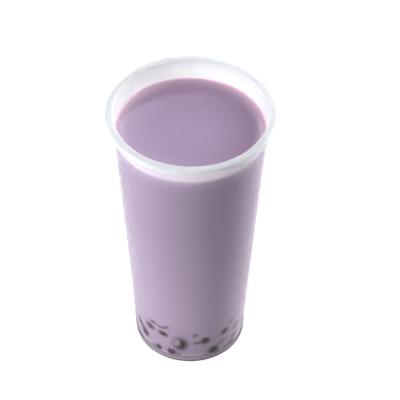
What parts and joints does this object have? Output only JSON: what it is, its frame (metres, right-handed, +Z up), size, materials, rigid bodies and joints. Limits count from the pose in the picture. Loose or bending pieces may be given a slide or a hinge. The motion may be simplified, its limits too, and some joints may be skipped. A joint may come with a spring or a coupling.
{
  "type": "taro bubble tea in a plastic cup",
  "caption": "Tall tapered translucent cup with a flat turned-down lip, filled with opaque lavender milk tea and dark tapioca pearls that have settled at its base.",
  "frame": {"origin": "centre of the ring that the cup stands on, at the height of the table", "axes": "+Z up along the cup's axis, from the base to the mouth; the cup is round, so X and Y are any two level directions at right angles"},
  "size_m": [0.095, 0.095, 0.1725],
  "materials": {
    "cup_plastic": "smooth translucent polypropylene",
    "taro_milk_tea": "smooth opaque liquid",
    "tapioca": "wet gel"
  },
  "bodies": {
    "root": {"cup": "cup_plastic", "milk_tea": "taro_milk_tea"}
  },
  "joints": []
}
